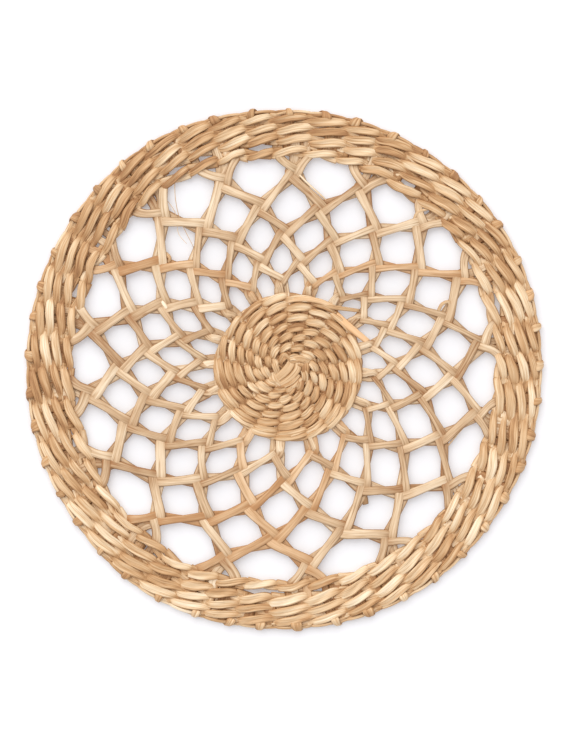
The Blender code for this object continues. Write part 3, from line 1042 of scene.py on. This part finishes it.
@dataclass(frozen=True)
class WovenCentre:
    """The twined disc: a spiral of two blades that runs in to a chunky knot.

    The tuples have a value for each turn of the spiral, from the outermost in, and are read
    evenly between the turns: its radius, its own middle, its stitches and half their width.
    """

    start: float = 155.5
    per_stitch: int = 9
    fine_steps: int = 4000                 # in which the spiral's stitches are counted
    radii: Row = (52.2, 49.6, 43.4, 36.5, 29.4, 22.5, 15.8, 9.6)
    middle_x: Row = (0.0, 0.3, 0.4, 0.3, 0.4, 0.2, -0.4, -1.0)
    middle_y: Row = (-0.2, -0.8, -1.7, -2.5, -2.8, -3.0, -3.6, -4.6)
    stitches: Row = (17.0, 17.0, 17.0, 17.0, 17.0, 15.0, 12.0, 8.0)
    half_widths: Row = (2.5, 2.7, 3.1, 3.2, 3.2, 3.2, 3.1, 3.0)
    twist: Twist = Twist(1.12, 1.7, 4.4, 3.2, 1.55, 1.25, blunt=0.17, point=0.30, end_shade=0.20,
                         slant=1.10, lean=0.25)
    end_fade: Pair = (1.5, 0.25)          # stitches in which the end grows, and its first share
    end_tone: Pair = (1.2, 0.10)          # turns up to which the outer turn is paler, and by what
    drift: Wobble = Wobble(0.0, 0.16, 0)
    sideways: Wobble = Wobble(0.0, 0.35, 1, 0.4)
    width: Wobble = Wobble(1.0, 0.16, 2)
    lift: Wobble = Wobble(1.0, 0.12, 3)
    tone: Wobble = Wobble(0.475, 0.20, 4)
    blade_seeds: Pair = (0.42, 0.58)
    seed: int = 83
    stake_seed: int = 89
    stake_count: int = 72
    stake_stations: int = 9
    stake_radii: Pair = (2.0, 49.5)
    stake_width: Pair = (0.35, 0.066)     # at the middle, and what it gains for each mm outward
    stake_thickness: float = 0.8
    stake_spread: Pair = (-0.4, 0.4)
    stake_height: Pair = (3.1, 4.9)
    # the stakes' tones: partly their own brown, partly painted shade of the crevices between
    # stitches
    stake_tone_and_shade: Pair = (-0.10, 0.22)
    stake_seeds: Pair = (0.25, 0.75)

    def build(self, material: Material) -> Object:
        """Makes and dresses the stakes of the disc."""
        return piece("centre_stakes", self.stakes(), material)

    @staticmethod
    def _read(values: Row, turn: Array) -> Array:
        """A size of the turns, read evenly between them at a number of turns."""
        return np.interp(turn, np.arange(len(values)), values)

    def spiral(self) -> Skin:
        """The two blades of the spiral, from its outer end inward, anticlockwise.

        The stitches are counted by adding up the turns' numbers of stitches on the way in.

        Returns:
            Their surface.
        """
        fine = np.linspace(0.0, len(self.radii) - 1.0, self.fine_steps)
        stitches = self._read(self.stitches, fine)
        steps = np.diff(fine) * (stitches[1:] + stitches[:-1]) / 2.0
        counted = np.concatenate(((0.0,), np.cumsum(steps)))
        place = np.tile(np.arange(0.0, counted[-1], 1.0 / self.per_stitch), (2, 1))
        stitch = np.floor(place)
        drift = self.drift.at(place[:1], self.seed, int(self.stitches[0]))
        turn = np.interp(place + drift, counted, fine)
        radius = self._read(self.radii, turn) + self.sideways.at(place, self.seed)
        middle = np.stack((self._read(self.middle_x, turn), self._read(self.middle_y, turn)), -1)
        plan = polar(DISC_MIDDLE, radius, self.start + 360.0 * turn) + middle
        half_width = self._read(self.half_widths, turn)
        grown, least = self.end_fade
        fade = np.clip(place / grown, least, 1.0)
        twist = replace(
            self.twist,
            sway=self.twist.sway * half_width / self.twist.top_width,
            lift=self.twist.lift * self.lift.at(place, self.seed) * fade,
            top_width=half_width * self.width.at(stitch, self.seed) * fade,
            side_width=self.twist.side_width * fade,
            thickness=self.twist.thickness * fade,
        )
        last, paler = self.end_tone
        tone = self.tone.at(stitch, self.seed) + paler * np.clip(last - turn, 0.0, 1.0)
        phase = math.pi * (place + column(0.0, 1.0))
        return RIBBED.sweep(twist.wound(plan, phase, tone, column(*self.blade_seeds), False))

    def stakes(self) -> Skin:
        """The stakes inside the disc, which fill the crevices: blades that narrow inward.

        Returns:
            Their surface.
        """
        chance = Chance(self.stake_seed, self.stake_count)
        number = np.arange(self.stake_count)[:, None] + chance.between(self.stake_spread)
        radius = np.linspace(*self.stake_radii, self.stake_stations)[None, :]
        plan = polar(DISC_MIDDLE, radius, number * 360.0 / self.stake_count)
        plan[..., 1] += np.interp(radius, self.radii[::-1], self.middle_y[::-1])
        line = lifted(plan, chance.between(self.stake_height))
        least, gain = self.stake_width
        # low tones: the stakes' own brown and painted shade of the crevices
        tone = chance.between(self.stake_tone_and_shade)
        seeds = chance.between(self.stake_seeds)
        return SLIM.sweep(Blades(line, least + gain * radius, self.stake_thickness, tone, seeds))


@dataclass(frozen=True)
class Ring:
    """One ring of crossings: its radius, the bearing of crossing 0 and its own centre."""

    radius: float
    bearing: float
    centre: Pair


@dataclass(frozen=True)
class Strand:
    """How the strands of a family are made.

    Attributes:
        steps: what is added to a strand's number in each ring, which turns it on its way out.
        root_turn: degrees from the innermost crossing to the root in the disc.
        rim_turns: degrees from the outermost crossing to the rim, for each blade.
        sway: how far each blade lies to its side at a crossing.
        half_width: half a blade's width at a crossing.
        waist: how much less it is halfway between two crossings.
        tone: how pale the strands are.
        seed: sets the family's random numbers apart.
        sunned: the numbers of the strands that are browner than the rest.
    """

    steps: tuple[int, ...]
    root_turn: float
    rim_turns: Pair
    sway: float
    half_width: float
    waist: float
    tone: float
    seed: int
    sunned: tuple[int, ...]


class Family(Enum):
    """The two families of strands, by the way that they turn on the way out."""

    CLOCKWISE = Strand((2, 2, 1, 0, 0), 1.8, (-5.2, -3.4), 2.52, 3.28, 0.50, 0.49, 0, (1, 11, 12))
    ANTICLOCKWISE = Strand((0, 1, 1, 1, 2), -1.8, (4.6, -0.7), 3.02, 3.68, 0.45, 0.55, 30, (5, 11))


@dataclass(frozen=True)
class Openwork:
    """The openwork: two families of strands, woven over and under each other.

    A place on a strand is counted in spans from its root. Its control points are two in the
    disc, one at its crossing in each ring and two in the rim.
    """

    rings: tuple[Ring, ...] = (
        Ring(63.0, 10.4, (3.5, -0.4)),
        Ring(79.8, -3.5, (1.0, -1.8)),
        Ring(100.8, 5.0, (0.8, -2.8)),
        Ring(121.2, 13.7, (1.7, -3.3)),
        Ring(143.0, 2.2, (1.1, -1.1)),
    )
    waves: tuple[Wave, ...] = (Wave(1, 5.2, 16.0), Wave(2, 2.1, -35.0))
    root_radii: Pair = (43.0, 52.5)
    rim_radii: Pair = (157.0, 169.0)
    rim_swell: float = 0.5                 # the share of the outline's bulge that the ends follow
    lift: float = 0.95                     # how far the front blade is raised, the rear one sunk
    height: float = 5.0
    thickness: float = 0.80
    per_span: int = 12
    roundness: float = 0.45
    narrow: tuple[Row, Row] = ((1.0, 2.0, 3.0, 4.5), (0.57, 0.76, 0.87, 1.0))  # places and sizes
    right_side: Pair = (1.04, 0.15)       # the size at the left, and what is less at the right
    sunk: Pair = (1.7, 6.2)               # the places up to and from which a strand goes down
    sink: float = 1.5
    lean: float = 0.12
    rear_shade: float = 0.10
    crossing_shade: float = 0.14
    sunned_seed: float = 0.925
    sunned_shade: float = 0.15
    seeds: Pair = (0.12, 0.90)
    rim_spread: Pair = (-0.6, 0.6)
    seed: int = 119
    sideways: Wobble = Wobble(0.0, 0.40, 2, 1.5)
    spread: Wobble = Wobble(1.0, 0.14, 5)
    width: Wobble = Wobble(1.0, 0.13, 6, 0.8)
    width_start: float = 0.375
    slow_width: Wobble = Wobble(0.0, 0.10, 10, 0.3)
    slow_tone: Wobble = Wobble(0.0, 0.20, 8, 0.4)
    tone: Wobble = Wobble(0.0, 0.08, 12)

    def build(self, material: Material) -> Object:
        """Makes and dresses the strands of both families.

        Args:
            material: their finish.

        Returns:
            The piece.
        """
        pairs = [(family.value, ply) for family in Family for ply in (0, 1)]
        skins = [ROUNDED.sweep(self.blades(strand, ply)) for strand, ply in pairs]
        return piece("openwork_strands", joined(skins), material)

    def crossing_bearing(self, ring: Ring, number: Array) -> Array:
        """The bearing of a ring's crossings by number: even steps plus the slow waves."""
        even = ring.bearing + number * 360.0 / STRANDS
        return even + sum(wave.at(even) for wave in self.waves)

    def routes(self, strand: Strand, rim_turns: Array) -> Array:
        """Control points of one blade of each strand of a family.

        Args:
            strand: how the family's strands are made.
            rim_turns: degrees from the outermost crossing to the rim, one for each strand.

        Returns:
            Strand by control point by 2.
        """
        number = np.arange(STRANDS)
        hubs = [
            polar(ring.centre, ring.radius, self.crossing_bearing(ring, number + step))
            for ring, step in zip(self.rings, strand.steps)
        ]
        away = hubs[0] - np.array(DISC_MIDDLE)
        inward = np.degrees(np.arctan2(away[:, 1], away[:, 0])) + strand.root_turn
        roots = [polar(DISC_MIDDLE, radius, inward) for radius in self.root_radii]
        last = self.crossing_bearing(self.rings[-1], number + strand.steps[-1]) + rim_turns
        bulge = self.rim_swell * swell(last)
        ends = [polar(MIDDLE, radius + bulge, last) for radius in self.rim_radii]
        return np.stack(roots + hubs + ends, axis=1)

    def _fullness(self, plan: Array, place: Array) -> Array:
        """How wide the strands are: narrower near the disc and towards the mat's right side.

        Args:
            plan: the strands' paths, strand by station by 2.
            place: in spans, strand by station.

        Returns:
            Shares of their full size.
        """
        rightward = np.clip(plan[..., 0] / np.linalg.norm(plan, axis=-1), 0.0, 1.0)
        most, less = self.right_side
        return np.interp(place, *self.narrow) * (most - less * rightward)

    def blades(self, strand: Strand, ply: int) -> Blades:
        """The first or the second blade of each strand of a family.

        A strand's blades lie side by side at each crossing and change places between two
        crossings: the front one goes over from right to left, high all the way, and the rear one
        under it from left to right. So the four blades that meet at a crossing go over and under
        each other in turn, as in plain weave. Past the outermost crossing they fan out to the
        rim. A blade lies sway times a triangle wave to its side, and is raised or lowered by
        lift * sin(pi * s)^(1/4), where s is the share of its half turn. At a crossing, where
        c = cos(pi * place)^2 is 1, it is wider, and darker by crossing_shade * c^4.

        Args:
            strand: how the family's strands are made.
            ply: 0 for the first blades, 1 for the second ones.

        Returns:
            The blades.
        """
        seed = self.seed + strand.seed
        chance = Chance(seed + ply, STRANDS)
        routes = self.routes(strand, strand.rim_turns[ply] + chance.between(self.rim_spread)[:, 0])
        plan = smooth_line(routes, self.per_span, self.roundness)
        place = np.tile(np.arange(plan.shape[1]) / self.per_span, (STRANDS, 1))
        plan = plan + self.sideways.at(place, seed)[..., None]
        full = self._fullness(plan, place)
        first = len(self.root_radii)
        fade = np.clip(first + len(self.rings) - place, 0.0, 1.0)
        share, over = half_turn(place + ply)
        swing = zigzag(math.pi * np.maximum(place + ply, first + ply))
        spread = self.spread.at(np.floor(place + 0.5), seed)
        aside = strand.sway * spread * swing * fade * full
        left = leftward(plan, False)
        before, after = self.sunk
        sunk = np.clip(before - place, 0.0, 1.0) + np.clip(place - after, 0.0, 1.0)
        raised = self.lift * over * np.sin(math.pi * share) ** 0.25
        line = lifted(plan, self.height - self.sink * sunk)
        line = line - left * aside[..., None] + UP * raised[..., None]
        uneven = self.width.at(place + self.width_start, seed + ply)
        uneven = uneven + self.slow_width.at(place, seed + ply)
        crossing = np.cos(math.pi * place) ** 2
        width = (strand.half_width - strand.waist * (1.0 - crossing)) * uneven * full
        tone = strand.tone + self.slow_tone.at(place, seed + ply) + self.tone.at(place, seed + ply)
        tone = tone - self.rear_shade * (over < 0.0) - self.crossing_shade * crossing ** 4
        seeds = chance.between(self.seeds)
        seeds[list(strand.sunned)] = self.sunned_seed
        tone[list(strand.sunned)] -= self.sunned_shade
        facing = unit(UP + left * (self.lean * swing)[..., None])
        return Blades(line, width, self.thickness, tone, seeds, facing)


@dataclass(frozen=True)
class LooseEnd:
    """A blade's free end: the points of its path, half its width, how pale and which blade."""

    path: tuple[Point, ...]
    half_width: float
    tone: float
    seed: float
    narrowing: float = 0.2               # the share by which the tip is narrower
    thickness: float = 0.75              # at most, and 0.8 of half the width
    per_span: int = 8

    def sweep(self, section: Section) -> Skin:
        """The end's surface, which narrows a little towards its cut tip.

        Args:
            section: the blade's cross-section.

        Returns:
            The surface.
        """
        line = smooth_line(np.array(self.path)[None], self.per_span)
        share = np.linspace(0.0, 1.0, line.shape[1])[None, :]
        width = self.half_width * (1.0 - self.narrowing * share ** 3)
        thick = np.minimum(self.thickness, 0.8 * width)
        return section.sweep(Blades(line, width, thick, self.tone, column(self.seed)))


@dataclass(frozen=True)
class StartingKnot:
    """The knot that the weaving starts from: short blades folded over each other in the middle of
    the disc."""

    blades: tuple[LooseEnd, ...] = (
        LooseEnd(((6.0, 4.8, 5.4), (1.0, -2.2, 6.5), (-8.6, -10.4, 5.0)), 3.5, 0.40, 0.40),
        LooseEnd(((-9.6, -3.6, 5.0), (-7.6, -9.4, 6.3), (-3.0, -13.6, 5.0)), 3.2, 0.50, 0.52),
        LooseEnd(((-2.5, 5.8, 5.6), (0.2, 9.6, 6.9), (4.7, 5.1, 5.8)), 1.7, 0.38, 0.66),
        LooseEnd(((-8.2, 6.4, 5.0), (-6.6, 1.2, 6.9), (-4.6, -4.4, 5.4)), 2.7, 0.42, 0.58),
        LooseEnd(((14.9, 4.4, 6.0), (15.2, -0.6, 6.8), (14.6, -6.2, 5.4)), 3.3, 0.14, 0.60),
        LooseEnd(((10.2, 6.0, 6.0), (9.3, -0.9, 6.9), (4.0, -7.2, 6.6), (-3.4, -12.0, 5.2)),
                 2.6, 0.44, 0.48),
        LooseEnd(((4.2, 5.2, 5.8), (11.0, 6.8, 7.3), (18.2, 4.2, 6.0)), 2.8, 0.42, 0.44),
        LooseEnd(((12.7, -7.3, 5.6), (7.2, -12.8, 6.7), (0.4, -16.7, 5.4)), 1.6, 0.40, 0.36),
        LooseEnd(((10.6, -4.8, 6.0), (5.4, -10.6, 6.8), (-2.2, -14.6, 5.4)), 1.5, 0.46, 0.55),
    )

    def build(self, material: Material) -> Object:
        """Makes and dresses the knot's blades."""
        return piece("centre_knot", joined([end.sweep(FOLDED) for end in self.blades]), material)


@dataclass(frozen=True)
class LooseEnds:
    """The free ends of blades: three that lie along the disc, frayed stubs and fine fibres."""

    blades: tuple[LooseEnd, ...] = (
        LooseEnd(((37.4, 38.6, 5.4), (44.0, 32.6, 6.9), (52.2, 25.6, 6.9), (60.6, 19.0, 5.6)),
                 2.6, 0.74, 0.995),
        LooseEnd(((24.0, 45.6, 6.0), (38.0, 43.6, 6.8), (54.2, 41.5, 5.2)), 1.6, 0.36, 0.12),
        LooseEnd(((1.0, 48.6, 4.4), (8.0, 49.8, 6.6), (17.0, 49.8, 7.1), (27.3, 47.8, 6.9),
                  (36.8, 43.4, 5.4)), 2.1, 0.62, 0.93),
    )
    stubs: tuple[LooseEnd, ...] = (
        LooseEnd(((111.7, 41.5, 6.0), (113.9, 45.9, 7.0), (118.3, 48.0, 7.0), (120.2, 44.9, 5.8)),
                 1.3, 0.50, 0.50),
        LooseEnd(((94.0, 107.5, 4.8), (96.6, 112.6, 5.8), (104.0, 115.4, 5.0)), 1.2, 0.40, 0.40),
        LooseEnd(((-86.6, 83.4, 4.6), (-83.4, 80.0, 5.8), (-84.0, 76.4, 4.6)), 1.5, 0.44, 0.45),
        LooseEnd(((-89.2, 48.8, 5.2), (-86.6, 45.2, 6.0), (-84.0, 40.8, 5.0)), 1.5, 1.05, 0.70),
        LooseEnd(((54.6, -86.8, 4.0), (57.4, -92.6, 4.3), (59.0, -99.0, 3.4)), 2.7, -0.30, 0.02),
    )
    fibres: tuple[LooseEnd, ...] = (
        LooseEnd(((-79.7, 136.4, 4.2), (-79.0, 122.0, 5.8), (-75.4, 107.0, 5.8),
                  (-65.9, 87.4, 4.4)), 0.26, 0.55, 0.50),
        LooseEnd(((-84.6, 121.0, 3.4), (-79.0, 112.0, 5.4), (-77.0, 98.0, 5.0),
                  (-71.0, 90.0, 4.6)), 0.22, 0.60, 0.30),
        LooseEnd(((5.0, 147.0, 4.6), (14.6, 136.0, 6.0), (25.6, 126.0, 5.4),
                  (30.4, 121.4, 4.2)), 0.80, 0.72, 0.42),
        LooseEnd(((2.4, 147.0, 4.0), (13.6, 133.0, 5.2), (21.0, 122.6, 5.0),
                  (31.0, 117.6, 3.8)), 0.50, 0.80, 0.60),
        LooseEnd(((118.3, -56.8, 4.4), (130.0, -43.0, 5.4), (138.6, -36.6, 5.4),
                  (151.0, -24.6, 4.6)), 0.55, 0.50, 0.35),
    )

    def build(self, material: Material) -> Object:
        """Makes and dresses all free ends.

        Args:
            material: their finish.

        Returns:
            The piece.
        """
        skins = [end.sweep(CREASED) for end in self.blades]
        skins += [end.sweep(SLIM) for end in self.stubs + self.fibres]
        return piece("loose_ends", joined(skins), material)


@dataclass(frozen=True)
class Studio:
    """The ground, the soft light and the camera above the mat, in metres."""

    view_height: float = 0.5394      # of the photograph's frame on the table
    lens: float = 100.0
    sensor: float = 36.0
    aim: Pair = (0.00081, -0.00056)
    ground_reach: float = 3.0
    window_side: Point = (-0.42, 0.90, 1.0)
    window_spread: float = 70.0      # degrees
    window_strength: float = 2.1
    window_colour: Point = (1.0, 0.96, 0.90)
    sky_colour: Colour = (0.93, 0.95, 1.0, 1.0)
    sky_strength: float = 0.90

    def ground(self) -> None:
        """Lays the plain pale ground, a square."""
        mesh = bpy.data.meshes.new("ground")
        corners = ((-1.0, -1.0), (1.0, -1.0), (1.0, 1.0), (-1.0, 1.0))
        points = [(x * self.ground_reach, y * self.ground_reach, 0.0) for x, y in corners]
        mesh.from_pydata(points, [], [(0, 1, 2, 3)])
        mesh.materials.append(TableTop().material())
        floor = placed("ground", mesh)

    def light(self) -> None:
        """Sets the soft daylight from the far left, alike all over the ground, and the sky."""
        data = bpy.data.lights.new("window", "SUN")
        data.angle = math.radians(self.window_spread)
        data.energy = self.window_strength
        data.color = self.window_colour
        lamp = placed("window", data)
        lamp.location = self.window_side
        lamp.rotation_euler = (-Vector(self.window_side)).to_track_quat("-Z", "Y").to_euler()
        world = bpy.data.worlds.new("soft_room")
        sky = {"Color": self.sky_colour, "Strength": self.sky_strength}
        Graph(world).finish("ShaderNodeBackground", sky)
        bpy.context.scene.world = world

    def build(self) -> None:
        """Sets up the ground, the light and the camera, which looks straight down."""
        self.ground()
        self.light()
        data = bpy.data.cameras.new("camera")
        data.lens = self.lens
        data.sensor_width = self.sensor
        camera = placed("camera", data)
        camera.location = (*self.aim, self.view_height * self.lens / self.sensor)
        bpy.context.scene.camera = camera
        bpy.context.scene.view_settings.view_transform = "Standard"


def main() -> None:
    logging.basicConfig(level=logging.INFO, format="%(message)s")
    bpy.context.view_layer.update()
    straw = DriedBlade("dried_seagrass")
    bleached = replace(
        straw, name="bleached_seagrass", tan=(0.480, 0.300, 0.160, 1.0),
        straw=(0.645, 0.452, 0.275, 1.0), pale=(0.785, 0.616, 0.425, 1.0),
        cream=(0.905, 0.775, 0.600, 1.0), streaks=replace(straw.streaks, contrast=0.74),
    )
    dried, faded = straw.material(), bleached.material()
    rim, centre = Rim(), WovenCentre()
    mat = piece("twined_rows", joined([rim.rows(), centre.spiral()]), dried)
    others = [
        Openwork().build(faded),
        rim.build(dried),
        centre.build(dried),
        StartingKnot().build(dried),
        *EdgeBinding().build(dried),
        LooseEnds().build(dried),
    ]
    Studio().build()


if __name__ == "__main__":
    main()
